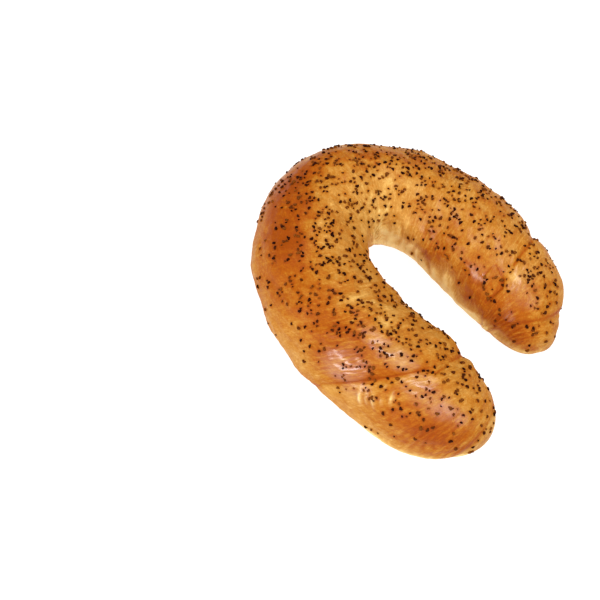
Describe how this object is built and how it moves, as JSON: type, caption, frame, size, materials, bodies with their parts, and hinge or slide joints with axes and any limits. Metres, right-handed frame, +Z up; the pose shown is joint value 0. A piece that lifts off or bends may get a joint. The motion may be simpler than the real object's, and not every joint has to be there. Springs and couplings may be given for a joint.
{
  "type": "crescent bread roll",
  "caption": "Horseshoe-shaped roll of rolled-up dough with a glazed brown crust, shallow wrap grooves and poppy seeds on top.",
  "frame": {"origin": "on the table, under the middle of the roll's bounding box", "axes": "+Z up from the flat underside; +Y along the roll's length, from the ends of the arms towards the outside of the bend; +X from the longer arm to the shorter one"},
  "size_m": [0.1186, 0.1442, 0.0418],
  "materials": {
    "glazed_crust": "baked crust under a thin egg glaze, golden to orange brown, paler in the folds and low on the sides",
    "poppy_seed": "matt blue-black to dark brown seeds"
  },
  "bodies": {
    "root": {"crescent_roll": "glazed_crust"}
  },
  "joints": []
}
